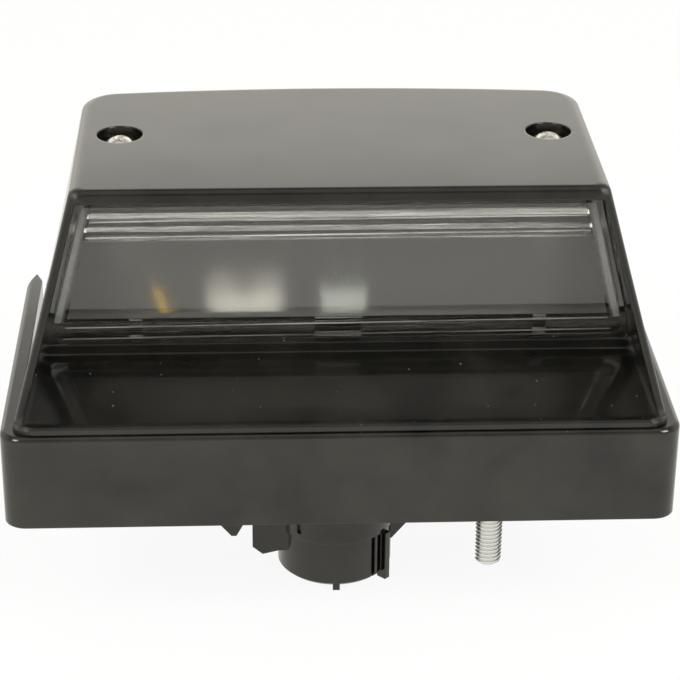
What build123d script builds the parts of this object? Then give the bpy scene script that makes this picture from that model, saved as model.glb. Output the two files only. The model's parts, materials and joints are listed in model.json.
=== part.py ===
from build123d import *
import os
from math import atan, cos, degrees, radians, sin

# Number plate lamp, in millimetres. The origin is on the axis of the plug socket, at the mounting
# face. X runs to the right, Y runs from the front to the back, and Z points up, out of the mounting face.

# Base moulding
base_width = 117.0
base_height = 17.6
floor_thickness = 2.6
axis_setback = 30.0
front_wall = 2.4
front_corner_radius = 4.0
wall = 2.2
skirt_wall = 2.9
skirt_gap = 1.6
skirt_edge_radius = 1.0
fin_outer_end = 61.8
fin_tip = 66.8
fin_tip_inset = 1.65
fin_inner_end = 63.5
chamber_front = 7.0
chamber_corner_radius = 6.0
seal_rebate = 1.0

# Cover moulding
cover_height = 57.2
cover_depth = 63.4
top_inset = 13.0
top_setback = 13.4
foot_inset_front = 2.1
foot_inset_rear = 4.4
rear_bow_radius = 398.0
rear_corner_radius = 7.0
top_thickness = 2.2
cover_wall = 1.4
cover_edge_radius = 1.4
seam_gap = 0.25
ledge_height = 1.3
tongue_depth = 3.0
tongue_wall = 1.6
fit_clearance = 0.25

# Tray in front of the lens
rim_setback = 0.6
rim_width = 2.0
rim_height = 1.35
rim_edge_radius = 0.45
rim_corner_radius = 3.4
rim_drop = 0.5
tray_setback = 20.5
tray_rise = 4.45
tray_thickness = 1.8
tray_lip = 1.0
tray_lip_drop = 1.2

# Lens
lens_overhang = 3.4
lens_wall = 2.0
lens_thickness = 2.2
lens_proud = 0.6
lens_gap = 0.2
lens_flange = 1.6
lens_flange_lap = 0.3
lens_side_edge = 2.6
lens_top_edge = 3.0
lens_edge_bevel = 1.2
lens_corner_radius = 3.0
bottom_bar = 4.6
plinth_height = 2.1
lip_height = 0.8
seat_wall = 1.6
seat_wall_height = 5.5
locator_inset = 23.0
locator_width = 2.0
locator_face = 0.6
locator_gap = 0.15
bar_pocket = 8.2
bar_pocket_floor = 0.9
bar_pocket_face = 0.7
rib_count = 2
rib_pitch = 2.65
rib_depth = 0.9

# Cover screws, their pillars and threaded inserts
screw_inset = 20.35
screw_setback = 39.5
counterbore = 8.2
screw_head_sink = 0.4
screw_head = 7.0
screw_head_height = 2.6
screw_head_dome = 3.6
screw_size = 4.0
screw_end_gap = 1.0
screw_clearance = 0.4
pillar = 9.0
pillar_height = 44.0
insert_outside = 5.6
insert_length = 8.0
insert_hole_extra = 8.0
boss_wall = 1.9
recess_width = 1.0
recess_length = 3.8
recess_depth = 1.5
press_clearance = 0.05

# Lamp board and its diodes
board_end = 5.35
board_depth = 22.0
board_setback = 25.0
board_thickness = 1.6
diode_width = 3.5
diode_depth = 2.8
diode_height = 0.9
diode_bevel = 0.25
diode_spacing = 18.0
diode_count = 4
diode_inset = 3.2

# Plug socket under the base
socket_outside = 21.4
socket_inside = 17.6
socket_length = 25.2
socket_chamfer = 0.6
collar_outside = 22.2
collar_length = 16.0
keyway_width = 0.9
keyway_spacing = 1.7
keyway_angle = 45.0
keyway_depth = 0.9
key_rib_width = 1.2
key_rib_height = 1.0
key_rib_offset = 2.0
key_rib_drop = 0.8
groove_width = 0.9
groove_depth = 0.5
groove_length = 14.8
groove_angle = -38.4
nub_width = 1.3
nub_depth = 1.4
nub_length = 1.0
nub_root = 1.0
tab_reach = 15.5
tab_length = 20.8
tab_cut_width = 1.9
tab_cut_height = 1.6
tab_rise = 0.7
tab_front = 6.0
fin_thickness = 2.4
wing_reach = 14.8
wing_side = 15.75
wing_length = 20.75
web_across = 18.85
web_setback = 15.0
web_length = 10.55
web_left = 9.4
web_right = 6.1
web_tip = 0.9

# Contact carrier and contacts in the socket
carrier_drop = 9.0
carrier_width = 8.2
carrier_depth = 7.0
carrier_height = 32.0
carrier_shift = 1.2
carrier_flange = 2.2
carrier_flange_height = 1.6
carrier_corner_radius = 1.2
contact_circle = 9.0
contact_angle = 45.0
contact_size = 2.2
contact_length = 9.0
contact_chamfer = 0.65
contact_count = 4

# Mounting studs
stud_size = 5.0
stud_gap = 0.55
stud_offset = 10.0
stud_length = 20.5
stud_head = 10.0
stud_head_height = 1.8
stud_chamfer = 0.8
stud_shoulder = 5.8

# White driver block, its post and the wires
driver_width = 14.0
driver_depth = 9.0
driver_height = 10.5
driver_body_height = 8.3
driver_corner_radius = 1.8
driver_inset = 21.75
driver_gap = 0.5
driver_seat = 22.0
driver_lobe = 5.6
driver_lobe_spacing = 8.4
post_width = 6.4
post_depth = 5.0
wire_size = 1.6
wire_bend = 2.6
wire_rise = 1.2
wire_lead = 2.0
wire_offset = 4.55
wire_slope = 3.4
wire_inset = 1.2
wire_gap = 0.3

# Derived places
front = -axis_setback
half_width = base_width / 2
skirt_inside = half_width - skirt_wall
chamber_half = skirt_inside - skirt_gap
rear = front + cover_depth
seam = base_height + seam_gap
seal_seat = base_height - seal_rebate
rim_front = front + rim_setback
rim_top = seam + rim_height
tray_front = rim_front + rim_width
tray_back = front + tray_setback
tray_front_height = rim_top - rim_drop
tray_back_height = tray_front_height + tray_rise
tray_under = tray_back_height - tray_thickness
tray_lip_front = front + front_wall + fit_clearance
lens_rise = cover_height - tray_back_height
lens_lean = degrees(atan(lens_overhang / lens_rise))
lens_length = lens_rise / cos(radians(lens_lean))
lens_low = plinth_height + lens_gap
lens_high = lens_length - top_thickness - lip_height - lens_gap
lens_back = lens_wall + lens_flange
seat_wall_face = lens_back + lens_gap
window_face = lens_thickness - lens_proud
window_low = lens_low + bottom_bar
window_high = lens_high - lens_top_edge
locator_across = half_width - locator_inset
seat_wall_back = tray_back + (seat_wall_face + seat_wall) * cos(radians(lens_lean))
screw_across = half_width - screw_inset
screw_y = front + screw_setback
screw_seat = cover_height - screw_head_sink - screw_head_height
screw_hole = screw_size + screw_clearance
boss = counterbore + 2 * boss_wall
board_top = pillar_height + board_thickness
stud_across = screw_across - (pillar + stud_head) / 2 - stud_gap
driver_across = screw_across - driver_inset
driver_front = carrier_depth / 2 + driver_gap
driver_y = driver_front + driver_depth / 2
reach = 2 * base_width
lens_plane = Plane(
    (0, tray_back, tray_back_height),
    x_dir=(1, 0, 0),
    z_dir=(0, -cos(radians(lens_lean)), -sin(radians(lens_lean))),
)


def cylinder_between(x, y, low, high, diameter):
    return Pos(x, y, low) * Cylinder(diameter / 2, high - low, align=(Align.CENTER, Align.CENTER, Align.MIN))


def box_between(low, high):
    size = [b - a for a, b in zip(low, high)]
    return Pos(*low) * Box(*size, align=(Align.MIN, Align.MIN, Align.MIN))


def profile_across(outline, half):
    """A profile drawn in the side view, pulled out to both sides."""
    return extrude(Plane.YZ * outline, half, both=True)


def rear_arc_y(x, inset=0.0):
    """Where the bowed back of the lamp stands at a distance from the middle."""
    radius = rear_bow_radius - inset
    return rear - rear_bow_radius + (radius**2 - x**2) ** 0.5


def bowed_plan(front_half, rear_half, start, inset=0.0):
    """A plan with straight sides and the bowed back of the lamp."""
    corner = rear_arc_y(rear_half, inset)
    sides = Polyline((-rear_half, corner), (-front_half, start), (front_half, start), (rear_half, corner))
    back = ThreePointArc((rear_half, corner), (0, rear_arc_y(0, inset)), (-rear_half, corner))
    return make_face([sides.edges(), back.edges()])


def chamber_plan(inset=0.0):
    """Outline of the closed chamber of the base."""
    half = chamber_half - inset
    plan = bowed_plan(half, half, front + chamber_front + inset, inset)
    return fillet(plan.vertices(), chamber_corner_radius - inset)


def skirt_plan():
    """The front wall and the two side walls, which end behind the lamp in pointed fins."""
    right = [
        (half_width, front + fin_outer_end),
        (half_width - fin_tip_inset, front + fin_tip),
        (skirt_inside, front + fin_inner_end),
        (skirt_inside, front + front_wall),
    ]
    left = [(-x, y) for x, y in reversed(right)]
    plan = Polygon((-half_width, front), (half_width, front), *right, *left, align=None)
    return fillet(plan.vertices().group_by(Axis.Y)[0], front_corner_radius)


def base_shell():
    """Floor, front wall, side walls and chamber wall, with a rounded edge on top of the outer walls."""
    corner = rear_arc_y(chamber_half) - chamber_corner_radius
    plate = Rectangle(base_width, corner - front, align=(Align.CENTER, Align.MIN))
    plate = fillet(plate.vertices().group_by(Axis.Y)[0], front_corner_radius)
    floor = extrude(Pos(0, front) * plate, floor_thickness) + extrude(chamber_plan(), floor_thickness)
    skirt = extrude(skirt_plan(), base_height)
    rims = [edge for edge in skirt.edges().group_by(Axis.Z)[-1] if on_outer_wall(edge.center())]
    chamber = extrude(chamber_plan() - chamber_plan(wall), seal_seat)
    return floor + fillet(rims, skirt_edge_radius) + chamber


def on_outer_wall(place):
    """True for a point on the outside of the front wall, its corners or the side walls."""
    at_side = abs(place.X) > skirt_inside + skirt_wall / 2 and place.Y < front + fin_outer_end
    return place.Y < front + front_wall / 2 or at_side


def socket_shroud():
    """The round plug socket with its collar, keyways, tab and wing."""
    shroud = cylinder_between(0, 0, -socket_length, 0, socket_outside)
    edge = shroud.edges().filter_by(GeomType.CIRCLE).sort_by(Axis.Z)[0]
    shroud = chamfer(edge, socket_chamfer) + cylinder_between(0, 0, -collar_length, 0, collar_outside)
    tab = Polygon(
        (0, 0), (-tab_reach, 0), (-tab_reach, tab_cut_height - tab_length),
        (tab_cut_width - tab_reach, -tab_length), (-socket_outside / 2, tab_rise - tab_length),
        (0, tab_rise - tab_length), align=None,
    )
    wing = Polygon(
        (0, 0), (wing_reach, 0), (wing_reach, -wing_side), (socket_outside / 2, -wing_length),
        (0, -wing_length), align=None,
    )
    shroud += extrude(Plane.XZ.offset(tab_front - fin_thickness) * tab, fin_thickness)
    shroud += extrude(Plane.XZ * wing, fin_thickness / 2, both=True)
    shroud -= Rot(0, 0, groove_angle) * Pos(0, -collar_outside / 2) * Box(
        groove_width, 2 * groove_depth, groove_length, align=(Align.CENTER, Align.CENTER, Align.MAX)
    )
    return keyed(shroud)


def keyed(shroud):
    """The shroud with its two keyways and the rib beside them, below the collar."""
    length = socket_length - collar_length
    hang = (Align.CENTER, Align.CENTER, Align.MAX)
    seat = Rot(0, 0, keyway_angle) * Pos(0, -socket_outside / 2, -collar_length)
    for side in (-1, 1):
        keyway = Box(keyway_width, 2 * keyway_depth, length, align=hang)
        shroud -= seat * Pos(side * keyway_spacing / 2) * keyway
    rib = Box(key_rib_width, 2 * key_rib_height, length + key_rib_drop, align=hang)
    return shroud + seat * Pos(key_rib_offset) * rib


def socket_nub():
    """The small nub under the front of the socket's wall."""
    middle = (socket_outside + socket_inside) / 4
    return Pos(0, -middle, -socket_length - nub_length) * Box(
        nub_width, nub_depth, nub_length + nub_root, align=(Align.CENTER, Align.CENTER, Align.MIN)
    )


def pointed_web():
    """The upright web under the floor that ends in a point, left of the socket."""
    side_view = Polygon(
        (-web_left, 0), (web_right, 0), (web_tip / 2, -web_length), (-web_tip / 2, -web_length), align=None,
    )
    return Pos(-web_across, front + web_setback) * extrude(Plane.XZ * side_view, fin_thickness / 2, both=True)


def base_housing():
    base = base_shell()
    for side in (-1, 1):
        x = side * screw_across
        insert_seat = pillar_height - insert_length
        base += cylinder_between(x, screw_y, 0, pillar_height, pillar)
        base -= cylinder_between(x, screw_y, insert_seat, pillar_height, insert_outside + 2 * press_clearance)
        base -= cylinder_between(x, screw_y, insert_seat - insert_hole_extra, insert_seat, screw_hole)
    base += socket_shroud()
    base -= cylinder_between(0, 0, -socket_length, floor_thickness, socket_inside)
    base += socket_nub()
    base += Pos(-driver_across, driver_y, 0) * Box(
        post_width, post_depth, driver_seat, align=(Align.CENTER, Align.CENTER, Align.MIN)
    )
    base += pointed_web()
    for x, y in stud_places():
        base -= cylinder_between(x, y, 0, floor_thickness, stud_shoulder + 2 * press_clearance)
    return base


def stud_places():
    return [(stud_across, -stud_offset), (-stud_across, stud_offset)]


def side_at(y, z):
    """Half width of the cover at a depth and a height: its sides lean in, and draw in towards the back."""
    top = half_width - top_inset
    foot = half_width - foot_inset_front - (foot_inset_rear - foot_inset_front) * (y - front) / cover_depth
    return foot + (top - foot) * (z - seam) / (cover_height - seam)


def cover_block(start, roof, inset=0.0, front_radius=0.0):
    """The leaning block of the cover from the seam up, with its bowed back and rounded corners."""
    plans = []
    for z in (seam, roof):
        plan = bowed_plan(side_at(start, z) - inset, side_at(rear, z) - inset, start, inset)
        plan = fillet(plan.vertices().group_by(Axis.Y)[-1], rear_corner_radius - inset)
        if front_radius:
            plan = fillet(plan.vertices().group_by(Axis.Y)[0], front_radius)
        plans.append(Pos(0, 0, z) * plan)
    return loft(plans, ruled=True)


def outer_block():
    return cover_block(rim_front, cover_height, front_radius=rim_corner_radius)


def rounded_cover():
    """The outside form: cut along the line of the cheeks, with rounded edges round the top and the cheeks."""
    run = front + top_setback - tray_front
    rise = cover_height - seam
    space = Polygon(
        (front - reach, seam), (tray_front, seam), (tray_front + 2 * run, seam + 2 * rise),
        (front - reach, seam + 2 * rise), align=None,
    )
    block = outer_block() - profile_across(space, reach)
    top = block.faces().sort_by(Axis.Z)[-1]
    slope = Vector(0, run, rise).normalized()
    leaning = [edge for edge in block.edges() if abs(edge.tangent_at(0.5).dot(slope)) > 0.95]
    cheeks = [edge for edge in leaning if edge.center().Y < tray_back]
    return fillet(top.edges() + cheeks, cover_edge_radius)


def lens_place(along, depth):
    """A point of the side view, by its distance up along the lens and behind the face of the lens wall."""
    lean = radians(lens_lean)
    y = tray_back - along * sin(lean) + depth * cos(lean)
    z = tray_back_height + along * cos(lean) + depth * sin(lean)
    return (y, z)


def lens_band(low, high, face, back):
    corners = [lens_place(low, face), lens_place(high, face), lens_place(high, back), lens_place(low, back)]
    return Polygon(*corners, align=None)


def tray_profile():
    """Side view of the tray: the front rim, the sloping floor and the lip inside the base's front wall."""
    profile = Polygon(
        (rim_front, seam), (rim_front, rim_top), (tray_front, rim_top), (tray_front, tray_front_height),
        (tray_back, tray_back_height), (seat_wall_back, tray_back_height), (seat_wall_back, tray_under),
        (tray_back, tray_under), (tray_lip_front + tray_lip, seam - tray_lip_drop),
        (tray_lip_front, seam - tray_lip_drop), (tray_lip_front, seam), align=None,
    )
    rim = [vertex for vertex in profile.vertices() if abs(vertex.Y - rim_top) < rim_drop / 2]
    return fillet(rim, rim_edge_radius)


def tray():
    lip_half = skirt_inside - fit_clearance
    below = box_between((-lip_half, front, 0), (lip_half, rear, seam))
    floor = profile_across(tray_profile(), reach) & outer_block()
    return floor + (profile_across(tray_profile(), lip_half) & below)


def tongue_ring(outer, low, high):
    """A ring inside the chamber's outline, as wide as the tongue reaches in."""
    ring = chamber_plan(outer) - chamber_plan(wall + fit_clearance + tongue_wall)
    return Pos(0, 0, low) * extrude(ring, high - low)


def housing_cover():
    outside = rounded_cover()
    inner_roof = cover_height - top_thickness
    cover = outside - cover_block(front - cover_wall, inner_roof, cover_wall)
    cover += tray()
    plinth = lens_band(-tray_thickness, plinth_height, 0, lens_wall)
    seat = lens_band(-tray_thickness, seat_wall_height, seat_wall_face, seat_wall_face + seat_wall)
    cover += profile_across(plinth + seat, reach) & outer_block()
    cover += lens_locators(-tray_thickness, window_low - locator_gap, 0)
    opening_top = lens_length - lip_height - top_thickness
    cover += profile_across(lens_band(opening_top, lens_length, 0, lens_wall), reach) & outside
    cover += tongue_ring(-skirt_gap, seam, seam + ledge_height) & outer_block()
    cover += tongue_ring(wall + fit_clearance, seam - tongue_depth, seam + ledge_height)
    cover -= extrude(chamber_plan(-fit_clearance) - chamber_plan(wall + fit_clearance), seam)
    for side in (-1, 1):
        x = side * screw_across
        cover += cylinder_between(x, screw_y, board_top, inner_roof + top_thickness / 2, boss)
        cover -= cylinder_between(x, screw_y, screw_seat, cover_height, counterbore)
        cover -= cylinder_between(x, screw_y, board_top, screw_seat, screw_hole)
    return cover


def lens_locators(low, high, gap):
    """The two posts in front of the seat wall that stand in slots of the lens, wider and deeper by a gap."""
    post = lens_band(low, high, locator_face - gap, seat_wall_face + seat_wall / 2)
    post = profile_across(post, locator_width / 2 + gap)
    return Pos(-locator_across) * post + Pos(locator_across) * post


def lens_half(along, face, back):
    """Half width that the cheeks leave for a slice of the lens."""
    sides = [side_at(*lens_place(along, depth)) for depth in (face, back)]
    return min(sides) - cover_wall - lens_gap


def lens_slice(low, high, face, back, inset=0.0, corner=0.0):
    """A slice of the lens between two depths, narrower towards the top."""
    low_half, high_half = (lens_half(along, face, back) - inset for along in (low, high))
    outline = Polygon((-low_half, low), (low_half, low), (high_half, high), (-high_half, high), align=None)
    if corner:
        outline = fillet(outline.vertices().group_by(Axis.Y)[0], corner)
    return extrude(lens_plane.offset(-face) * outline, face - back)


def lens():
    """Clear lens: a thick bottom bar, a thin window and prism ribs along its top, held by a flange."""
    plate = lens_slice(lens_low, lens_high, -lens_proud, lens_wall, corner=lens_corner_radius)
    face = plate.faces().sort_by(Axis(lens_plane.origin, lens_plane.z_dir))[-1]
    plate = chamfer(face.edges(), lens_edge_bevel)
    flange = lens_slice(lens_low - lens_flange_lap, lens_high + lens_flange_lap, lens_wall, lens_back)
    hollow = lens_slice(window_low, window_high, window_face, lens_back, lens_side_edge)
    pocket = lens_band(lens_low + bar_pocket_floor, window_low, bar_pocket_face, lens_back)
    piece = plate + flange - hollow - profile_across(pocket, bar_pocket / 2)
    piece -= lens_locators(0, window_low, locator_gap)
    for index in range(rib_count):
        top = window_high - index * rib_pitch
        rib = Polygon(
            lens_place(top, window_face), lens_place(top - rib_pitch, window_face),
            lens_place(top - rib_pitch / 2, window_face + rib_depth), align=None,
        )
        piece += profile_across(rib, reach) & hollow
    return piece


def cover_seal():
    ring = chamber_plan(fit_clearance) - chamber_plan(wall - fit_clearance)
    return Pos(0, 0, seal_seat) * extrude(ring, seam - seal_seat)


def cover_screw(x):
    """Screw with a domed head and a cross recess, standing in its counterbore."""
    top = screw_seat + screw_head_height
    head = cylinder_between(x, screw_y, screw_seat, top, screw_head)
    head &= Pos(x, screw_y, top - screw_head_dome) * Sphere(screw_head_dome)
    for turn in (0, 90):
        head -= Pos(x, screw_y, top) * Rot(0, 0, turn) * Box(recess_width, recess_length, 2 * recess_depth)
    end = pillar_height - insert_length + screw_end_gap
    return head + cylinder_between(x, screw_y, end, screw_seat, screw_size)


def screw_insert(x):
    low = pillar_height - insert_length
    body = cylinder_between(x, screw_y, low, pillar_height, insert_outside)
    return body - cylinder_between(x, screw_y, low, pillar_height, screw_size + 2 * press_clearance)


def mounting_stud(place):
    """Stud with its head on the floor of the base and its shoulder in the floor."""
    x, y = place
    shank = cylinder_between(x, y, -stud_length, 0, stud_size)
    tip = shank.edges().filter_by(GeomType.CIRCLE).sort_by(Axis.Z)[0]
    stud = chamfer(tip, stud_chamfer) + cylinder_between(x, y, 0, floor_thickness, stud_shoulder)
    return stud + cylinder_between(x, y, floor_thickness, floor_thickness + stud_head_height, stud_head)


def contact_places():
    radius = contact_circle / 2
    angles = [radians(contact_angle + 360 * index / contact_count) for index in range(contact_count)]
    return [(radius * cos(angle), radius * sin(angle)) for angle in angles]


def contact_pin(place):
    x, y = place
    pin = cylinder_between(x, y, -carrier_drop - contact_length, floor_thickness, contact_size)
    tip = pin.edges().filter_by(GeomType.CIRCLE).sort_by(Axis.Z)[0]
    return chamfer(tip, contact_chamfer)


def contact_carrier():
    """Insulator that closes the socket, holds the contacts and carries the feed wires up."""
    plug = cylinder_between(0, 0, -carrier_drop, floor_thickness, socket_inside - 2 * press_clearance)
    seat_top = floor_thickness + carrier_flange_height
    plug += cylinder_between(0, 0, floor_thickness, seat_top, socket_inside + 2 * carrier_flange)
    for x, y in contact_places():
        plug -= cylinder_between(x, y, -carrier_drop, floor_thickness, contact_size + 2 * press_clearance)
    plan = fillet(Rectangle(carrier_width, carrier_depth).vertices(), carrier_corner_radius)
    tower = extrude(plan, carrier_height - floor_thickness)
    return plug + Pos(carrier_shift, 0, floor_thickness) * tower


def lamp_board():
    half = screw_across + board_end
    y = front + board_setback
    board = box_between((-half, y, pillar_height), (half, y + board_depth, board_top))
    for side in (-1, 1):
        board -= cylinder_between(side * screw_across, screw_y, pillar_height, board_top, screw_hole)
    return board


def diode(index):
    x = (index - (diode_count - 1) / 2) * diode_spacing
    y = front + board_setback + diode_inset
    package = Pos(x, y, pillar_height) * Box(
        diode_width, diode_depth, diode_height, align=(Align.CENTER, Align.CENTER, Align.MAX)
    )
    return chamfer(package.edges().group_by(Axis.Z)[0], diode_bevel)


def driver_block():
    """White block with two rounded lobes, on the post that stands up from the base."""
    plan = fillet(Rectangle(driver_width, driver_depth).vertices(), driver_corner_radius)
    block = extrude(plan, driver_body_height)
    for side in (-1, 1):
        block += cylinder_between(side * driver_lobe_spacing / 2, 0, 0, driver_height, driver_lobe)
    return Pos(-driver_across, driver_y, driver_seat) * block


def wire_along(*points):
    """A round wire on straight runs joined by tangent arcs."""
    path = FilletPolyline(*points, radius=wire_bend) if len(points) > 2 else Line(*points)
    section = Plane(origin=path @ 0, z_dir=path % 0) * Circle(wire_size / 2)
    return sweep(section, path)


def yellow_wire():
    """From the side of the driver block, in front of the screw pillar, up to the lamp board."""
    x, y = -driver_across - driver_width / 2, driver_front + wire_inset
    low = driver_seat + wire_rise
    clear_y = screw_y - (pillar + wire_size) / 2 - wire_gap
    swing = wire_offset - screw_across
    bend = (low + pillar_height) / 2
    return wire_along(
        (x, y, low), (x - wire_lead, y, low), (swing + wire_slope, clear_y, low), (swing, clear_y, bend),
        (swing, clear_y, pillar_height),
    )


def driver_wire():
    """From the driver block to the back of the contact carrier."""
    x = -driver_across + driver_width / 2
    height = driver_seat + wire_rise
    end = carrier_shift - carrier_width / 4
    return wire_along((x, driver_y, height), (end, driver_y, height), (end, carrier_depth / 2, height))


def feed_wire(side):
    x = carrier_shift + side * carrier_width / 4
    return wire_along((x, 0, carrier_height), (x, 0, pillar_height))


def pieces():
    """Every piece of the lamp by name."""
    front_stud, rear_stud = stud_places()
    named = {
        "base_housing": base_housing(),
        "housing_cover": housing_cover(),
        "lens": lens(),
        "cover_seal": cover_seal(),
        "mounting_stud_front": mounting_stud(front_stud),
        "mounting_stud_rear": mounting_stud(rear_stud),
        "contact_carrier": contact_carrier(),
        "lamp_board": lamp_board(),
        "driver_block": driver_block(),
        "yellow_wire": yellow_wire(),
        "driver_wire": driver_wire(),
    }
    for name, side in (("left", -1), ("right", 1)):
        named[f"cover_screw_{name}"] = cover_screw(side * screw_across)
        named[f"screw_insert_{name}"] = screw_insert(side * screw_across)
        named[f"feed_wire_{name}"] = feed_wire(side)
    for index, place in enumerate(contact_places()):
        named[f"contact_pin_{index + 1}"] = contact_pin(place)
    for index in range(diode_count):
        named[f"diode_{index + 1}"] = diode(index)
    return named


if __name__ == "__main__":
    os.makedirs("parts", exist_ok=True)
    for name, piece in pieces().items():
        export_step(piece, f"parts/{name}.step")
        print(name, len(piece.solids()), round(piece.volume, 1), piece.is_valid)
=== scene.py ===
import json
import math
import bpy
from mathutils import Matrix, Vector


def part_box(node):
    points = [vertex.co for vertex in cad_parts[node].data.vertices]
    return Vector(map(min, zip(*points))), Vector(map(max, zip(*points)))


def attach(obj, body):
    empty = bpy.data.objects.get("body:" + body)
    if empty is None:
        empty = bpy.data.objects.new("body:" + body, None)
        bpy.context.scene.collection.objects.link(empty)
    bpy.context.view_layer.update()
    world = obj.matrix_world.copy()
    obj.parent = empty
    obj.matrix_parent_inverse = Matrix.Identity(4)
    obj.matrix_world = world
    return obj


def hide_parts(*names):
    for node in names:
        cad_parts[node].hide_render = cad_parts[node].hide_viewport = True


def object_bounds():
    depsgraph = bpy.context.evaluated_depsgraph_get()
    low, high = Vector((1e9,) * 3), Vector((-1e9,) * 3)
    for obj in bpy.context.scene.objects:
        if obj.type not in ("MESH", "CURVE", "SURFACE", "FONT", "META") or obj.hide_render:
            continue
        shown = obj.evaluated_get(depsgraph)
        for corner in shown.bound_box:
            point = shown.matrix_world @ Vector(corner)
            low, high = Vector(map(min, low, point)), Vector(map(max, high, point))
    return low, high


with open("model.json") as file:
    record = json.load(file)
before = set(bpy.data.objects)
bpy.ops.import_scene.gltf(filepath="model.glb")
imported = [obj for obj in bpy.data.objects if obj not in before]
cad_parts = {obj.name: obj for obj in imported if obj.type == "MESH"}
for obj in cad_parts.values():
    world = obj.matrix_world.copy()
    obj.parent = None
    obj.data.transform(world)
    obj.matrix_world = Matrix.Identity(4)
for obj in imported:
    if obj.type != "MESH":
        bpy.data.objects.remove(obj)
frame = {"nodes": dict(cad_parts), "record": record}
cadLow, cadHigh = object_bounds()
record = frame["record"]
mm = 0.001
smoothAngle = 35  # degrees
facing = 0.9  # least share of a normal for a face to count as facing that way
print("frame loaded:", len(frame["nodes"]), "nodes")


def only(piece):  # leaves one object selected and active
    bpy.ops.object.select_all(action="DESELECT")
    piece.select_set(True)
    bpy.context.view_layer.objects.active = piece


def applyAll(piece):
    only(piece)
    for modifier in list(piece.modifiers):
        bpy.ops.object.modifier_apply(modifier=modifier.name)


def settle(piece, slot, *nodes):  # object at the origin, riding on the lamp, standing for its nodes
    only(piece)
    bpy.ops.object.transform_apply(location=True, rotation=True, scale=True)
    bpy.ops.object.shade_smooth_by_angle(angle=math.radians(smoothAngle))
    piece.data.materials.clear()
    piece.data.materials.append(materials[slot])
    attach(piece, "root")
    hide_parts(*nodes)


def pickFaces(piece, test):  # edit mode, with the faces selected whose middle and normal pass the test
    bpy.ops.object.mode_set(mode="EDIT")
    bpy.ops.mesh.select_mode(type="FACE")
    bpy.ops.mesh.select_all(action="DESELECT")
    bpy.ops.object.mode_set(mode="OBJECT")
    for face in piece.data.polygons:
        face.select = test(face.center, face.normal)
    bpy.ops.object.mode_set(mode="EDIT")


def extrudeBy(x, y, z):
    bpy.ops.mesh.extrude_region_move(TRANSFORM_OT_translate={"value": (x, y, z)})


def combine(piece, tool, operation):  # boolean of two closed shells, which uses up the second
    step = piece.modifiers.new("shape", "BOOLEAN")
    step.operation = operation
    step.solver = "EXACT"
    step.object = tool
    applyAll(piece)
    bpy.data.objects.remove(tool)


def newMaterial(name):
    material = bpy.data.materials.new(name)
    material.use_nodes = True
    tree = material.node_tree
    return material, tree.nodes, tree.links, tree.nodes["Principled BSDF"]


def addNode(nodes, kind, **settings):
    node = nodes.new(kind)
    for key, value in settings.items():
        if key in node.inputs:
            node.inputs[key].default_value = value
        else:
            setattr(node, key, value)
    return node


def noise(nodes, links, scale, detail, roughness):
    place = addNode(nodes, "ShaderNodeTexCoord")
    texture = addNode(nodes, "ShaderNodeTexNoise", Scale=scale, Detail=detail, Roughness=roughness)
    links.new(place.outputs["Object"], texture.inputs["Vector"])
    return texture


# Maps a value onto a range, by default from the span that most of a noise lies in
def spread(nodes, links, source, low, high, fromLow=0.3, fromHigh=0.7):
    span = addNode(nodes, "ShaderNodeMapRange")
    span.inputs["From Min"].default_value = fromLow
    span.inputs["From Max"].default_value = fromHigh
    span.inputs["To Min"].default_value = low
    span.inputs["To Max"].default_value = high
    links.new(source, span.inputs["Value"])
    return span.outputs["Result"]


def combineValues(nodes, links, operation, first, second):
    sums = addNode(nodes, "ShaderNodeMath", operation=operation)
    for socket, value in zip(sums.inputs, (first, second)):
        if isinstance(value, (int, float)):
            socket.default_value = value
        else:
            links.new(value, socket)
    return sums.outputs[0]


def product(nodes, links, *values):
    total = values[0]
    for value in values[1:]:
        total = combineValues(nodes, links, "MULTIPLY", total, value)
    return total


# Up to 1 on small grains, in the share of the cells that isn't clean
def specks(nodes, links, place, scale, size, clean):
    cells = addNode(nodes, "ShaderNodeTexVoronoi", voronoi_dimensions="2D", Scale=scale)
    links.new(place, cells.inputs["Vector"])
    near = spread(nodes, links, cells.outputs["Distance"], 1, 0, size / 2, size)
    pick = addNode(nodes, "ShaderNodeSeparateColor")
    links.new(cells.outputs["Color"], pick.inputs["Color"])
    few = combineValues(nodes, links, "GREATER_THAN", pick.outputs["Red"], clean)
    return product(nodes, links, near, few, pick.outputs["Green"])


def mixColors(nodes, links, share, first, second):
    mix = addNode(nodes, "ShaderNodeMix", data_type="RGBA")
    links.new(share, mix.inputs[0])
    for socket, value in zip((mix.inputs[6], mix.inputs[7]), (first, second)):
        if isinstance(value, tuple):
            socket.default_value = value
        else:
            links.new(value, socket)
    return mix.outputs[2]


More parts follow.
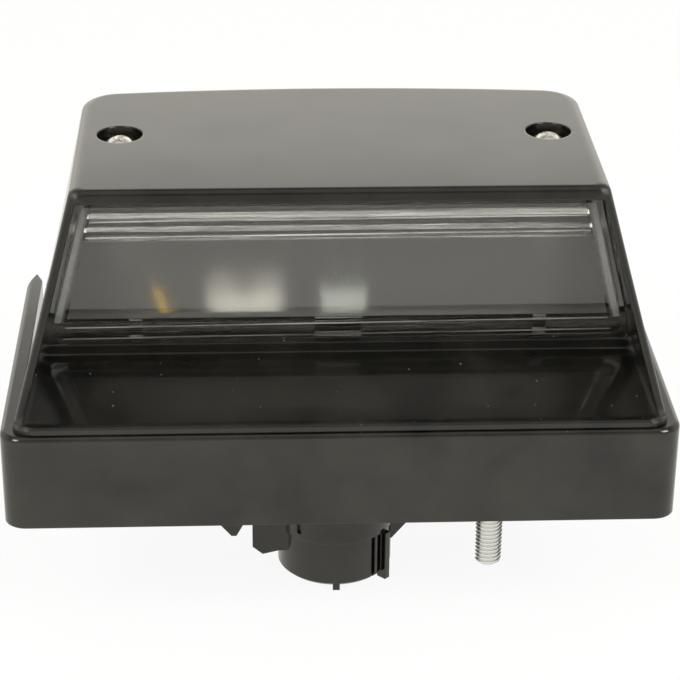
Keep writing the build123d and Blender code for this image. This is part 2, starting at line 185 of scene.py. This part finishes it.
blackPlastic = {
    "color": (0.003, 0.0031, 0.0029, 1),
    "film": (0.0205, 0.0188, 0.014, 1),  # thin film of handling, in patches
    "filmScale": 75,
    "filmDetail": (6, 0.6),  # detail and roughness of the noise
    "filmPatches": (0.35, 0.68),
    "dust": (0.22, 0.215, 0.2, 1),
    "ior": 1.55,
    "roughness": (0.07, 0.14),
    "smudgeScale": 55,
    "smudgeDetail": (5, 0.6),
    "dustSlope": (0.5, 0.9),  # dust lies on what faces up
    "speckScale": 230,
    "speckSize": 0.04,
    "speckClean": 0.72,
    "speckHeights": (40 * mm, 50 * mm),  # the top is wiped cleaner than the tray
    "speckOnTop": 0.06,
    "edgeRadius": 0.3 * mm,
    "edgeSamples": 6,
    "waveScale": 38,
    "waveDetail": (1, 0.3),
    "waveHeight": 0.010 * mm,
}
coverLook = dict(
    blackPlastic,
    film=(0.0125, 0.012, 0.0092, 1),
    edgeRadius=0.45 * mm,
    outerRadius=2.2 * mm,  # the outer edges and the cheeks are rounder
    outerBorder=(1.6 * mm, 2.8 * mm),  # how far in from the sides that goes
    foot=(17.85 * mm, 55.5 * mm),  # height and half width of the cover at its foot
    top=(57.2 * mm, 45.5 * mm),
)


def roundedEdge(nodes, links, settings):  # radius of the edges, by the distance in from the leaning side
    place = addNode(nodes, "ShaderNodeTexCoord")
    axes = addNode(nodes, "ShaderNodeSeparateXYZ")
    links.new(place.outputs["Object"], axes.inputs["Vector"])
    (footHeight, footHalf), (topHeight, topHalf) = settings["foot"], settings["top"]
    half = spread(nodes, links, axes.outputs["Z"], footHalf, topHalf, footHeight, topHeight)
    across = combineValues(nodes, links, "ABSOLUTE", axes.outputs["X"], 0)
    inward = combineValues(nodes, links, "SUBTRACT", half, across)
    outer, inner = settings["outerRadius"], settings["edgeRadius"]
    return spread(nodes, links, inward, outer, inner, *settings["outerBorder"])


def makeBlackPlastic(name, settings=blackPlastic):
    material, nodes, links, shader = newMaterial(name)
    film = noise(nodes, links, settings["filmScale"], *settings["filmDetail"])
    patches = spread(nodes, links, film.outputs["Fac"], 0, 1, *settings["filmPatches"])
    surface = addNode(nodes, "ShaderNodeNewGeometry")
    upward = addNode(nodes, "ShaderNodeSeparateXYZ")
    links.new(surface.outputs["Normal"], upward.inputs["Vector"])
    lies = spread(nodes, links, upward.outputs["Z"], 0, 1, *settings["dustSlope"])
    place = addNode(nodes, "ShaderNodeTexCoord")
    height = addNode(nodes, "ShaderNodeSeparateXYZ")
    links.new(place.outputs["Object"], height.inputs["Vector"])
    wiped = spread(nodes, links, height.outputs["Z"], 1, settings["speckOnTop"], *settings["speckHeights"])
    grainSizes = settings["speckScale"], settings["speckSize"], settings["speckClean"]
    grains = specks(nodes, links, place.outputs["Object"], *grainSizes)
    dust = product(nodes, links, grains, lies, wiped)
    tint = mixColors(nodes, links, patches, settings["color"], settings["film"])
    links.new(mixColors(nodes, links, dust, tint, settings["dust"]), shader.inputs["Base Color"])
    smudge = noise(nodes, links, settings["smudgeScale"], *settings["smudgeDetail"])
    links.new(spread(nodes, links, smudge.outputs["Fac"], *settings["roughness"]), shader.inputs["Roughness"])
    wave = noise(nodes, links, settings["waveScale"], *settings["waveDetail"])
    bump = addNode(nodes, "ShaderNodeBump", Strength=1.0, Distance=settings["waveHeight"])
    links.new(wave.outputs["Fac"], bump.inputs["Height"])
    soft = addNode(nodes, "ShaderNodeBevel", Radius=settings["edgeRadius"])
    soft.samples = settings["edgeSamples"]
    if "outerRadius" in settings:
        links.new(roundedEdge(nodes, links, settings), soft.inputs["Radius"])
    links.new(soft.outputs["Normal"], bump.inputs["Normal"])
    links.new(bump.outputs["Normal"], shader.inputs["Normal"])
    shader.inputs["IOR"].default_value = settings["ior"]
    return material


plainFinishes = {  # colour, roughness range, metallic, grain scale, grain depth
    "seal_rubber": ((0.02, 0.02, 0.02, 1), (0.7, 0.9), 0, 900, 0.05 * mm),
    "brass": ((0.68, 0.5, 0.2, 1), (0.2, 0.35), 1, 500, 0.01 * mm),
    "pale_plastic": ((0.36, 0.39, 0.37, 1), (0.35, 0.5), 0, 300, 0.01 * mm),
    "board": ((0.74, 0.74, 0.71, 1), (0.3, 0.45), 0, 400, 0.01 * mm),
    "diode": ((0.8, 0.66, 0.15, 1), (0.2, 0.3), 0, 700, 0.01 * mm),
    "white_plastic": ((0.9, 0.88, 0.82, 1), (0.3, 0.45), 0, 300, 0.01 * mm),
    "yellow_insulation": ((0.96, 0.6, 0.01, 1), (0.35, 0.5), 0, 500, 0.01 * mm),
    "black_insulation": ((0.008, 0.008, 0.009, 1), (0.75, 0.9), 0, 500, 0.01 * mm),
}
secondShades = {  # axis, colour that a finish turns to along it, and where that starts and ends
    "yellow_insulation": [  # dark sleeves over the soldered ends
        ("Z", (0.016, 0.015, 0.014, 1), 29.8 * mm, 31.3 * mm),
        ("X", (0.016, 0.015, 0.014, 1), -28.4 * mm, -27.6 * mm),
    ],
    "white_plastic": [  # painted shade: the block turns darker towards its top
        ("Z", (0.2, 0.195, 0.18, 1), 27.8 * mm, 32.0 * mm),
    ],
}
plainGrain = {"detail": (4, 0.6), "darker": 0.86, "strength": 0.6}
blockPaintedShadeDip = {"middle": -16.4 * mm, "half": 3.0 * mm, "shadeDrop": 1.3 * mm}  # painted shade on the block, which starts lower between its two lobes


def makePlain(name, color, roughness, metallic, grainScale, grainDepth):
    material, nodes, links, shader = newMaterial(name)
    shader.inputs["Metallic"].default_value = metallic
    grain = noise(nodes, links, grainScale, *plainGrain["detail"])
    darker = tuple(plainGrain["darker"] * part for part in color[:3]) + (1,)
    shade = mixColors(nodes, links, grain.outputs["Fac"], darker, color)
    for axis, second, start, end in secondShades.get(name, []):
        place = addNode(nodes, "ShaderNodeTexCoord")
        axes = addNode(nodes, "ShaderNodeSeparateXYZ")
        links.new(place.outputs["Object"], axes.inputs["Vector"])
        reach = axes.outputs[axis]
        # painted shade: the block's darkening reaches lower between its two lobes
        if name == "white_plastic":
            fromMiddle = combineValues(nodes, links, "SUBTRACT", axes.outputs["X"], blockPaintedShadeDip["middle"])
            fromMiddle = combineValues(nodes, links, "ABSOLUTE", fromMiddle, 0)
            shadeDrop = spread(nodes, links, fromMiddle, blockPaintedShadeDip["shadeDrop"], 0, 0, blockPaintedShadeDip["half"])
            reach = combineValues(nodes, links, "ADD", reach, shadeDrop)
        shade = mixColors(nodes, links, spread(nodes, links, reach, 0, 1, start, end), shade, second)
    links.new(shade, shader.inputs["Base Color"])
    links.new(spread(nodes, links, grain.outputs["Fac"], *roughness), shader.inputs["Roughness"])
    bump = addNode(nodes, "ShaderNodeBump", Strength=plainGrain["strength"], Distance=grainDepth)
    links.new(grain.outputs["Fac"], bump.inputs["Height"])
    links.new(bump.outputs["Normal"], shader.inputs["Normal"])
    return material


brightSteel = {
    "color": (0.97, 0.955, 0.92, 1),
    "dull": (0.8, 0.79, 0.75, 1),
    "roughness": (0.22, 0.36),
    "scale": 600,
}
zincSteel = {
    "color": (0.95, 0.965, 0.95, 1),
    "dull": (0.68, 0.69, 0.68, 1),
    "roughness": (0.18, 0.36),
    "scale": 700,
}
platedGrain = {"detail": (5, 0.65), "strength": 0.4, "depth": 0.02 * mm}


def makePlatedSteel(name, settings):
    material, nodes, links, shader = newMaterial(name)
    shader.inputs["Metallic"].default_value = 1
    patches = noise(nodes, links, settings["scale"], *platedGrain["detail"]).outputs["Fac"]
    plating = mixColors(nodes, links, patches, settings["dull"], settings["color"])
    links.new(plating, shader.inputs["Base Color"])
    links.new(spread(nodes, links, patches, *settings["roughness"]), shader.inputs["Roughness"])
    bump = addNode(nodes, "ShaderNodeBump", Strength=platedGrain["strength"], Distance=platedGrain["depth"])
    links.new(patches, bump.inputs["Height"])
    links.new(bump.outputs["Normal"], shader.inputs["Normal"])
    return material


lensLook = {
    "color": (0.96, 0.955, 0.925, 1),
    "barPaintedShade": (0.52, 0.515, 0.49, 1),  # painted shade: the thick foot is tinted grey for the black around it that shows through it
    "ior": 1.58,
    "lean": 5.702,  # degrees that the top stands nearer the front
    "foot": (-9.5 * mm, 23.15 * mm),  # where the face of the lens meets the tray, from the side
    "fieldLow": 7.0 * mm,  # frosted field, up along the lens
    "fieldHigh": 22.6 * mm,
    "ribsHigh": 27.95 * mm,
    "fieldDepth": 1.0 * mm,  # the frost is on the inside face
    "halfLow": 51.9 * mm,  # half the lens's width at its foot
    "halfHigh": 45.1 * mm,  # and at the top of its ribs
    "sideEdge": 2.7 * mm,  # plain border at each side
    "sideBand": (0.1 * mm, 0.6 * mm, 1.5 * mm, 2.3 * mm),  # where its frost starts, is full and ends
    "fieldRoughness": 0.3,
    "sideRoughness": 0.35,
    "ribRoughness": 0.1,
    "fieldVeil": 0.05,
    "sideVeil": 0.155,
    "ribVeil": 0.1,
    "speckVeil": 0.5,
    "grainScale": 2600,
    "grainDepth": 0.05 * mm,
    "grainDetail": (2, 0.5),
    "streakLength": 22 * mm,  # drawing marks in the ribs and the bottom bar run across the lens
    "streakWidth": 0.4 * mm,
    "streakDepth": 0.16 * mm,
    "streakDetail": (2.0, 0.5),
    "barStreaks": 0.4,  # share of that depth in the bottom bar
    "paintedHighlights": [  # painted highlights: whiter lines and a broad band across the outside, where the ribs and edges catch the light: height, slant, half width, strength
        (3.2 * mm, 0.009, 0.05 * mm, 0.2),
        (4.1 * mm, 0.009, 0.05 * mm, 0.4),
        (6.37 * mm, 0.009, 0.05 * mm, 0.65),
        (24.2 * mm, 0.006, 0.06 * mm, 0.55),
        (27.25 * mm, 0.006, 0.08 * mm, 0.6),
        (28.0 * mm, 0.006, 0.8 * mm, 0.3),
    ],
    "lineEdge": 0.15 * mm,  # over which they fade
    "lineLeast": 0.3,  # share of a line's strength where the streaks break it
    "lineBreaks": (0.4, 0.6),
    "ribPaintedShade": (25.15 * mm, 0.006, 0.5 * mm, 1),  # painted shade: the lower rib is darkened where less of the lit board shows through it
    "ribShadeColor": (0.36, 0.36, 0.345, 1),
    "speckScale": 150,
    "speckSize": 0.026,
    "speckClean": 0.86,
}


def lensMeasures(nodes, links, settings):  # places up along the lens, into it, and in from its side
    place = addNode(nodes, "ShaderNodeTexCoord").outputs["Object"]
    shift = addNode(nodes, "ShaderNodeVectorMath", operation="SUBTRACT")
    shift.inputs[1].default_value = (0, *settings["foot"])
    links.new(place, shift.inputs[0])
    lean = math.radians(settings["lean"])
    measures = []
    for direction in ((0, -math.sin(lean), math.cos(lean)), (0, math.cos(lean), math.sin(lean)), (1, 0, 0)):
        measure = addNode(nodes, "ShaderNodeVectorMath", operation="DOT_PRODUCT")
        measure.inputs[1].default_value = direction
        links.new(shift.outputs[0], measure.inputs[0])
        measures.append(measure.outputs["Value"])
    along, depth, across = measures
    half = spread(nodes, links, along, settings["halfLow"], settings["halfHigh"], 0, settings["ribsHigh"])
    inward = combineValues(nodes, links, "SUBTRACT", half, combineValues(nodes, links, "ABSOLUTE", across, 0))
    return along, depth, across, inward


# Noise that is long across the lens and narrow upward
def makeStreaks(nodes, links, across, along, depth, settings):
    stretch = addNode(nodes, "ShaderNodeCombineXYZ")
    for socket, value, length in zip(
        stretch.inputs,
        (across, along, depth),
        (settings["streakLength"], settings["streakWidth"], settings["streakWidth"]),
    ):
        links.new(combineValues(nodes, links, "DIVIDE", value, length), socket)
    detail, roughness = settings["streakDetail"]
    streak = addNode(nodes, "ShaderNodeTexNoise", Scale=1.0, Detail=detail, Roughness=roughness)
    links.new(stretch.outputs["Vector"], streak.inputs["Vector"])
    return streak.outputs["Fac"]


def makeLine(nodes, links, across, along, line, fade):  # a line's strength on it, 0 away from it
    height, slant, half, strength = line
    rise = combineValues(nodes, links, "MULTIPLY", across, slant)
    level = combineValues(nodes, links, "SUBTRACT", along, rise)
    away = combineValues(nodes, links, "SUBTRACT", level, height)
    off = combineValues(nodes, links, "ABSOLUTE", away, 0)
    return spread(nodes, links, off, strength, 0, half, half + fade)


def makeLensClear(settings=lensLook):
    material, nodes, links, shader = newMaterial("clearLens")
    along, depth, across, inward = lensMeasures(nodes, links, settings)
    inside = combineValues(nodes, links, "GREATER_THAN", depth, settings["fieldDepth"])
    outside = combineValues(nodes, links, "LESS_THAN", depth, settings["fieldDepth"])
    middleOnly = combineValues(nodes, links, "GREATER_THAN", inward, settings["sideEdge"])
    overBar = combineValues(nodes, links, "GREATER_THAN", along, settings["fieldLow"])
    bar = combineValues(nodes, links, "LESS_THAN", along, settings["fieldLow"])
    underRibs = combineValues(nodes, links, "LESS_THAN", along, settings["fieldHigh"])
    overField = combineValues(nodes, links, "GREATER_THAN", along, settings["fieldHigh"])
    field = product(nodes, links, inside, middleOnly, overBar, underRibs)
    ribs = product(nodes, links, inside, middleOnly, overField)
    start, full, wane, end = settings["sideBand"]
    rise = spread(nodes, links, inward, 0, 1, start, full)
    sides = product(nodes, links, rise, spread(nodes, links, inward, 1, 0, wane, end), overBar)
    grainSizes = settings["speckScale"], settings["speckSize"], settings["speckClean"]
    face = addNode(nodes, "ShaderNodeCombineXYZ")
    links.new(across, face.inputs["X"])
    links.new(along, face.inputs["Y"])
    grains = specks(nodes, links, face.outputs["Vector"], *grainSizes)
    dusty = product(nodes, links, outside, overBar, settings["speckVeil"])
    frostDustAndHighlights = combineValues(nodes, links, "MULTIPLY", field, settings["fieldVeil"])
    frostDustAndHighlights = combineValues(nodes, links, "MAXIMUM", frostDustAndHighlights, product(nodes, links, sides, settings["sideVeil"]))
    frostDustAndHighlights = combineValues(nodes, links, "MAXIMUM", frostDustAndHighlights, product(nodes, links, ribs, settings["ribVeil"]))
    frostDustAndHighlights = combineValues(nodes, links, "MAXIMUM", frostDustAndHighlights, product(nodes, links, grains, dusty))
    streaks = makeStreaks(nodes, links, across, along, depth, settings)
    broken = spread(nodes, links, streaks, settings["lineLeast"], 1, *settings["lineBreaks"])
    front = product(nodes, links, outside, middleOnly)
    # painted highlights: whiter lines across the outside of the lens, added to the frost and dust
    for line in settings["paintedHighlights"]:
        highlightLine = makeLine(nodes, links, across, along, line, settings["lineEdge"])
        frostDustAndHighlights = combineValues(nodes, links, "MAXIMUM", frostDustAndHighlights, product(nodes, links, highlightLine, front, broken))
    # painted shade along the lower rib
    ribShade = makeLine(nodes, links, across, along, settings["ribPaintedShade"], settings["lineEdge"])
    ribShade = product(nodes, links, ribShade, front)
    links.new(spread(nodes, links, frostDustAndHighlights, 1, 0, 0, 1), shader.inputs["Transmission Weight"])
    rough = combineValues(nodes, links, "MULTIPLY", field, settings["fieldRoughness"])
    for zone, roughness in ((sides, settings["sideRoughness"]), (ribs, settings["ribRoughness"])):
        rough = combineValues(nodes, links, "MAXIMUM", rough, product(nodes, links, zone, roughness))
    links.new(rough, shader.inputs["Roughness"])
    # painted shade on the thick foot of the lens
    tint = mixColors(nodes, links, bar, settings["color"], settings["barPaintedShade"])
    links.new(mixColors(nodes, links, ribShade, tint, settings["ribShadeColor"]), shader.inputs["Base Color"])
    shader.inputs["IOR"].default_value = settings["ior"]
    grain = noise(nodes, links, settings["grainScale"], *settings["grainDetail"])
    frost = addNode(nodes, "ShaderNodeBump", Distance=settings["grainDepth"])
    links.new(grain.outputs["Fac"], frost.inputs["Height"])
    links.new(field, frost.inputs["Strength"])
    drawn = addNode(nodes, "ShaderNodeBump", Distance=settings["streakDepth"])
    links.new(streaks, drawn.inputs["Height"])
    marked = combineValues(nodes, links, "MAXIMUM", ribs, product(nodes, links, bar, settings["barStreaks"]))
    links.new(marked, drawn.inputs["Strength"])
    links.new(frost.outputs["Normal"], drawn.inputs["Normal"])
    links.new(drawn.outputs["Normal"], shader.inputs["Normal"])
    passing = addNode(nodes, "ShaderNodeBsdfTransparent")
    path = addNode(nodes, "ShaderNodeLightPath")
    mix = addNode(nodes, "ShaderNodeMixShader")
    links.new(path.outputs["Is Shadow Ray"], mix.inputs["Fac"])
    links.new(shader.outputs["BSDF"], mix.inputs[1])
    links.new(passing.outputs["BSDF"], mix.inputs[2])
    links.new(mix.outputs["Shader"], nodes["Material Output"].inputs["Surface"])
    return material


materials = {
    "black_plastic": makeBlackPlastic("blackPlastic"),
    "clear_lens": makeLensClear(),
    "bright_steel": makePlatedSteel("brightSteel", brightSteel),
    "zinc_steel": makePlatedSteel("zincSteel", zincSteel),
}
for slotName, finish in plainFinishes.items():
    materials[slotName] = makePlain(slotName, *finish)
for part in record["subparts"]:
    node = frame["nodes"][part["node"]]
    node.data.materials.clear()
    node.data.materials.append(materials[part["material_slot"]])
cover = frame["nodes"]["housing_cover"]
cover.data.materials[0] = makeBlackPlastic("blackCover", coverLook)
print("materials made:", len(materials) + 1)


threadForm = {
    "flank": 0.31,  # height of one flank, as a share of the pitch
    "root": 0.25,  # height of the flat at the bottom
    "angle": 30,  # degrees that a flank leans
    "spare": 4,  # turns past the two ends, which are cut off
    "merge": 0.001 * mm,
    "tipSides": 96,
}


# Upright thread on the Z axis with a chamfered lower end
def makeThread(radius, pitch, low, high, tip, steps, form=threadForm):
    rise = form["flank"] * pitch
    root = form["root"] * pitch
    depth = rise / math.tan(math.radians(form["angle"]))
    bpy.ops.object.select_all(action="DESELECT")
    start = (radius - depth, 0, low - form["spare"] / 2 * pitch)
    bpy.ops.mesh.primitive_plane_add(size=pitch, location=start)
    thread = bpy.context.object
    bpy.ops.object.transform_apply(location=True)
    bpy.ops.object.mode_set(mode="EDIT")
    bpy.ops.mesh.select_mode(type="VERT")
    bpy.ops.mesh.select_all(action="SELECT")
    bpy.ops.mesh.merge(type="CENTER")
    for x, z in ((0, root), (depth, rise), (0, pitch - root - 2 * rise), (-depth, rise)):
        bpy.ops.mesh.extrude_vertices_move(TRANSFORM_OT_translate={"value": (x, 0, z)})
    bpy.ops.object.mode_set(mode="OBJECT")
    turn = thread.modifiers.new("turn", "SCREW")
    turn.axis = "Z"
    turn.screw_offset = pitch
    turn.iterations = math.ceil((high - low) / pitch) + form["spare"]
    turn.steps = turn.render_steps = steps
    applyAll(thread)
    bpy.ops.object.mode_set(mode="EDIT")
    bpy.ops.mesh.select_all(action="SELECT")
    bpy.ops.mesh.remove_doubles(threshold=form["merge"])
    bpy.ops.mesh.bisect(plane_co=(0, 0, low), plane_no=(0, 0, 1), use_fill=True, clear_inner=True)
    bpy.ops.mesh.select_all(action="SELECT")
    bpy.ops.mesh.bisect(plane_co=(0, 0, high), plane_no=(0, 0, 1), use_fill=True, clear_outer=True)
    bpy.ops.mesh.select_all(action="SELECT")
    bpy.ops.mesh.normals_make_consistent(inside=False)
    bpy.ops.object.mode_set(mode="OBJECT")
    reach = high - low + pitch
    bpy.ops.mesh.primitive_cone_add(
        vertices=form["tipSides"],
        radius1=radius - tip,
        radius2=radius - tip + reach,
        depth=reach,
        location=(0, 0, low + reach / 2),
    )
    combine(thread, bpy.context.object, "INTERSECT")
    return thread


def copyTo(piece, name, x, y):  # a copy with its own mesh, moved sideways
    twin = piece.copy()
    twin.data = piece.data.copy()
    twin.name = name
    bpy.context.collection.objects.link(twin)
    twin.location = (x, y, 0)
    return twin


def middle(node):
    low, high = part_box(node)
    return (low.x + high.x) / 2, (low.y + high.y) / 2


studSizes = {
    "radius": 2.5 * mm,
    "pitch": 0.8 * mm,
    "tip": 0.8 * mm,
    "low": -20.5 * mm,
    "shoulder": 2.9 * mm,
    "seat": 2.6 * mm,  # top of the base's floor, where the head sits
    "head": 5.0 * mm,
    "headHeight": 1.8 * mm,
    "headEdge": 0.3 * mm,
    "headEdgeSteps": 4,
    "sides": 64,
    "threadSteps": 40,
}


def makeStuds(sizes=studSizes):
    thread = makeThread(
        sizes["radius"], sizes["pitch"], sizes["low"], sizes["seat"] / 2, sizes["tip"], sizes["threadSteps"]
    )
    bpy.ops.object.select_all(action="DESELECT")
    bpy.ops.mesh.primitive_cylinder_add(
        vertices=sizes["sides"],
        radius=sizes["shoulder"],
        depth=sizes["seat"],
        location=(0, 0, sizes["seat"] / 2),
    )
    stud = bpy.context.object
    bpy.ops.object.transform_apply(location=True)
    pickFaces(stud, lambda place, normal: normal.z > facing)
    grow = sizes["head"] / sizes["shoulder"]
    extrudeBy(0, 0, 0)
    bpy.ops.transform.resize(value=(grow, grow, 1))
    extrudeBy(0, 0, sizes["headHeight"])
    bpy.ops.mesh.bevel(offset=sizes["headEdge"], segments=sizes["headEdgeSteps"], affect="EDGES")
    bpy.ops.object.mode_set(mode="OBJECT")
    combine(stud, thread, "UNION")
    for node in ("mounting_stud_front", "mounting_stud_rear"):
        twin = copyTo(stud, node.replace("mounting_stud_", "threadedStud"), *middle(node))
        settle(twin, "zinc_steel", node)
    bpy.data.objects.remove(stud)


makeStuds()
print("studs threaded")


screwSizes = {
    "dome": 3.6 * mm,  # radius of the ball that the head is cut from
    "crown": 56.8 * mm,  # height of the top of the head
    "headHeight": 2.6 * mm,
    "shank": 2.0 * mm,
    "pitch": 0.7 * mm,
    "tip": 0.5 * mm,
    "end": 37.0 * mm,
    "slotWidth": 1.0 * mm,
    "slotLength": 3.8 * mm,
    "slotDepth": 1.5 * mm,
    "slotTaper": 0.5,  # share of its size that is left at the bottom
    "domeSegments": 72,
    "domeRings": 48,
    "threadSteps": 32,
    "turns": {"cover_screw_left": 24, "cover_screw_right": -14},
}


def makeCrossCutter(sizes):  # two wedges that taper towards the bottom of the recess
    wedges = []
    for quarter in (0, 90):
        bpy.ops.object.select_all(action="DESELECT")
        bpy.ops.mesh.primitive_cube_add(size=1, location=(0, 0, sizes["crown"]))
        wedge = bpy.context.object
        wedge.scale = (sizes["slotWidth"], sizes["slotLength"], 2 * sizes["slotDepth"])
        wedge.rotation_euler.z = math.radians(quarter)
        bpy.ops.object.transform_apply(location=True, rotation=True, scale=True)
        pickFaces(wedge, lambda place, normal: normal.z < -facing)
        bpy.ops.transform.resize(value=(sizes["slotTaper"], sizes["slotTaper"], 1))
        bpy.ops.object.mode_set(mode="OBJECT")
        wedges.append(wedge)
    combine(wedges[0], wedges[1], "UNION")
    return wedges[0]


def makeScrews(sizes=screwSizes):
    seat = sizes["crown"] - sizes["headHeight"]
    inHead = seat + sizes["pitch"]
    thread = makeThread(
        sizes["shank"], sizes["pitch"], sizes["end"], inHead, sizes["tip"], sizes["threadSteps"]
    )
    bpy.ops.object.select_all(action="DESELECT")
    bpy.ops.mesh.primitive_uv_sphere_add(
        segments=sizes["domeSegments"],
        ring_count=sizes["domeRings"],
        radius=sizes["dome"],
        location=(0, 0, sizes["crown"] - sizes["dome"]),
    )
    screw = bpy.context.object
    bpy.ops.object.transform_apply(location=True)
    bpy.ops.object.mode_set(mode="EDIT")
    bpy.ops.mesh.select_all(action="SELECT")
    bpy.ops.mesh.bisect(plane_co=(0, 0, seat), plane_no=(0, 0, 1), use_fill=True, clear_inner=True)
    bpy.ops.object.mode_set(mode="OBJECT")
    combine(screw, thread, "UNION")
    combine(screw, makeCrossCutter(sizes), "DIFFERENCE")
    for node, turn in sizes["turns"].items():
        twin = copyTo(screw, node.replace("cover_screw_", "panScrew"), *middle(node))
        twin.rotation_euler.z = math.radians(turn)
        settle(twin, "bright_steel", node)
    bpy.data.objects.remove(screw)


makeScrews()
print("screws made")


studio = {
    "floorDrop": 0.5 * mm,  # below the lowest point of the lamp
    "floorSide": 6.0,
    "floorColor": (0.9, 0.9, 0.9, 1),
    "floorRoughness": 0.9,
    "white": 0.92,  # share of plain white in the floor
    "warm": (1.0, 0.975, 0.9, 1),  # tint of the white that gloss shows
    "worldLevel": 0.45,
    "front": 0.6,  # what gloss shows of the room low down in front of the lamp
    "above": 0.1,  # and over it
    "frontToAbove": (0.35, 0.75),  # heights of the view, 1 being straight up, where one turns to the other
    "backdrop": (-0.45, 0.05),  # how far to the back the white behind the lamp starts and is full
    "backdropTop": (0.6, 0.85),  # heights where it fades
    "floorLine": (0.0, 0.03),
    "lamps": [  # name, place, side, power, colour
        ("topLamp", (0.0, -0.2, 1.3), (1.8, 1.4), 4.5, (1.0, 0.985, 0.96)),
        ("backLamp", (0.0, 1.15, 0.30), (1.8, 0.46), 2.0, (1.0, 0.96, 0.86)),
        ("leftKey", (-0.62, -0.62, 0.78), (0.42, 0.42), 6.4, (1.0, 0.98, 0.94)),
        ("rightKey", (0.62, -0.62, 0.78), (0.42, 0.42), 7.6, (1.0, 0.98, 0.94)),
    ],
    "target": (0.0, 0.0, 0.02),
}


def whiteRays(nodes, links):  # 1 for rays that show the background: camera, glossy and transmission rays
    path = addNode(nodes, "ShaderNodeLightPath")
    seen = path.outputs["Is Camera Ray"]
    for kind in ("Is Glossy Ray", "Is Transmission Ray"):
        seen = combineValues(nodes, links, "MAXIMUM", seen, path.outputs[kind])
    return seen, path


def makeFloor(settings=studio):
    bpy.ops.object.select_all(action="DESELECT")
    height = cadLow.z - settings["floorDrop"]
    bpy.ops.mesh.primitive_plane_add(size=settings["floorSide"], location=(0, 0, height))
    floor = bpy.context.object
    floor.name = "floor"
    material, nodes, links, shader = newMaterial("paleFloor")
    shader.inputs["Base Color"].default_value = settings["floorColor"]
    shader.inputs["Roughness"].default_value = settings["floorRoughness"]
    shader.inputs["Specular IOR Level"].default_value = 0
    glow = addNode(nodes, "ShaderNodeEmission", Strength=1.0)
    white, path = whiteRays(nodes, links)
    paper = mixColors(nodes, links, path.outputs["Is Camera Ray"], settings["warm"], (1, 1, 1, 1))
    links.new(paper, glow.inputs["Color"])
    mix = addNode(nodes, "ShaderNodeMixShader")
    links.new(combineValues(nodes, links, "MULTIPLY", white, settings["white"]), mix.inputs["Fac"])
    links.new(shader.outputs["BSDF"], mix.inputs[1])
    links.new(glow.outputs["Emission"], mix.inputs[2])
    links.new(mix.outputs["Shader"], nodes["Material Output"].inputs["Surface"])
    floor.data.materials.append(material)


def makeWorld(settings=studio):
    world = bpy.data.worlds.new("studioWorld")
    bpy.context.scene.world = world
    world.use_nodes = True
    nodes, links = world.node_tree.nodes, world.node_tree.links
    background = nodes["Background"]
    place = addNode(nodes, "ShaderNodeTexCoord")
    toward = addNode(nodes, "ShaderNodeSeparateXYZ")
    links.new(place.outputs["Object"], toward.inputs["Vector"])
    height = toward.outputs["Z"]
    behind = spread(nodes, links, toward.outputs["Y"], 0, 1, *settings["backdrop"])
    notAbove = spread(nodes, links, height, 1, 0, *settings["backdropTop"])
    lowDown = spread(nodes, links, height, 1, 0, *settings["floorLine"])
    pale = combineValues(nodes, links, "MAXIMUM", product(nodes, links, behind, notAbove), lowDown)
    room = spread(nodes, links, height, settings["front"], settings["above"], *settings["frontToAbove"])
    white, path = whiteRays(nodes, links)
    paper = mixColors(nodes, links, path.outputs["Is Camera Ray"], settings["warm"], (1, 1, 1, 1))
    links.new(paper, background.inputs["Color"])
    pale = combineValues(nodes, links, "MAXIMUM", pale, path.outputs["Is Camera Ray"])
    shown = combineValues(nodes, links, "MULTIPLY", combineValues(nodes, links, "MAXIMUM", pale, room), white)
    plain = spread(nodes, links, white, settings["worldLevel"], 0, 0, 1)
    links.new(combineValues(nodes, links, "ADD", shown, plain), background.inputs["Strength"])


def makeLamps(settings=studio):
    for name, place, side, power, color in settings["lamps"]:
        aim = Vector(settings["target"]) - Vector(place)
        turn = aim.to_track_quat("-Z", "Y").to_euler()
        bpy.ops.object.light_add(type="AREA", location=place, rotation=turn)
        lamp = bpy.context.object
        lamp.name = name
        lamp.data.shape = "RECTANGLE"
        lamp.data.size, lamp.data.size_y = side
        lamp.data.energy = power
        lamp.data.color = color


makeFloor()
makeWorld()
makeLamps()
print("studio ready")


cameraSet = {  # as the photograph was taken
    "lens": 120.3,
    "sensor": 36,
    "nearest": 0.01,
    "pitch": 26.49,  # degrees, looking down
    "yaw": 2.638,
    "roll": 0.464,
    "place": (-16.19 * mm, -368.51 * mm, 204.54 * mm),
}


def makeCamera(settings=cameraSet):
    pitch, yaw, roll = (math.radians(settings[key]) for key in ("pitch", "yaw", "roll"))
    ahead = Vector((math.sin(yaw) * math.cos(pitch), math.cos(yaw) * math.cos(pitch), -math.sin(pitch)))
    right = Vector((math.cos(yaw), -math.sin(yaw), 0))
    up = right.cross(ahead)
    across = right * math.cos(roll) + up * math.sin(roll)
    upright = up * math.cos(roll) - right * math.sin(roll)
    turn = Matrix((across, upright, -ahead)).transposed()
    bpy.ops.object.camera_add(location=settings["place"], rotation=turn.to_euler())
    camera = bpy.context.object
    camera.data.lens = settings["lens"]
    camera.data.sensor_width = settings["sensor"]
    camera.data.clip_start = settings["nearest"]
    bpy.context.scene.camera = camera


makeCamera()
bpy.context.scene.view_settings.view_transform = "Standard"
print("camera placed")
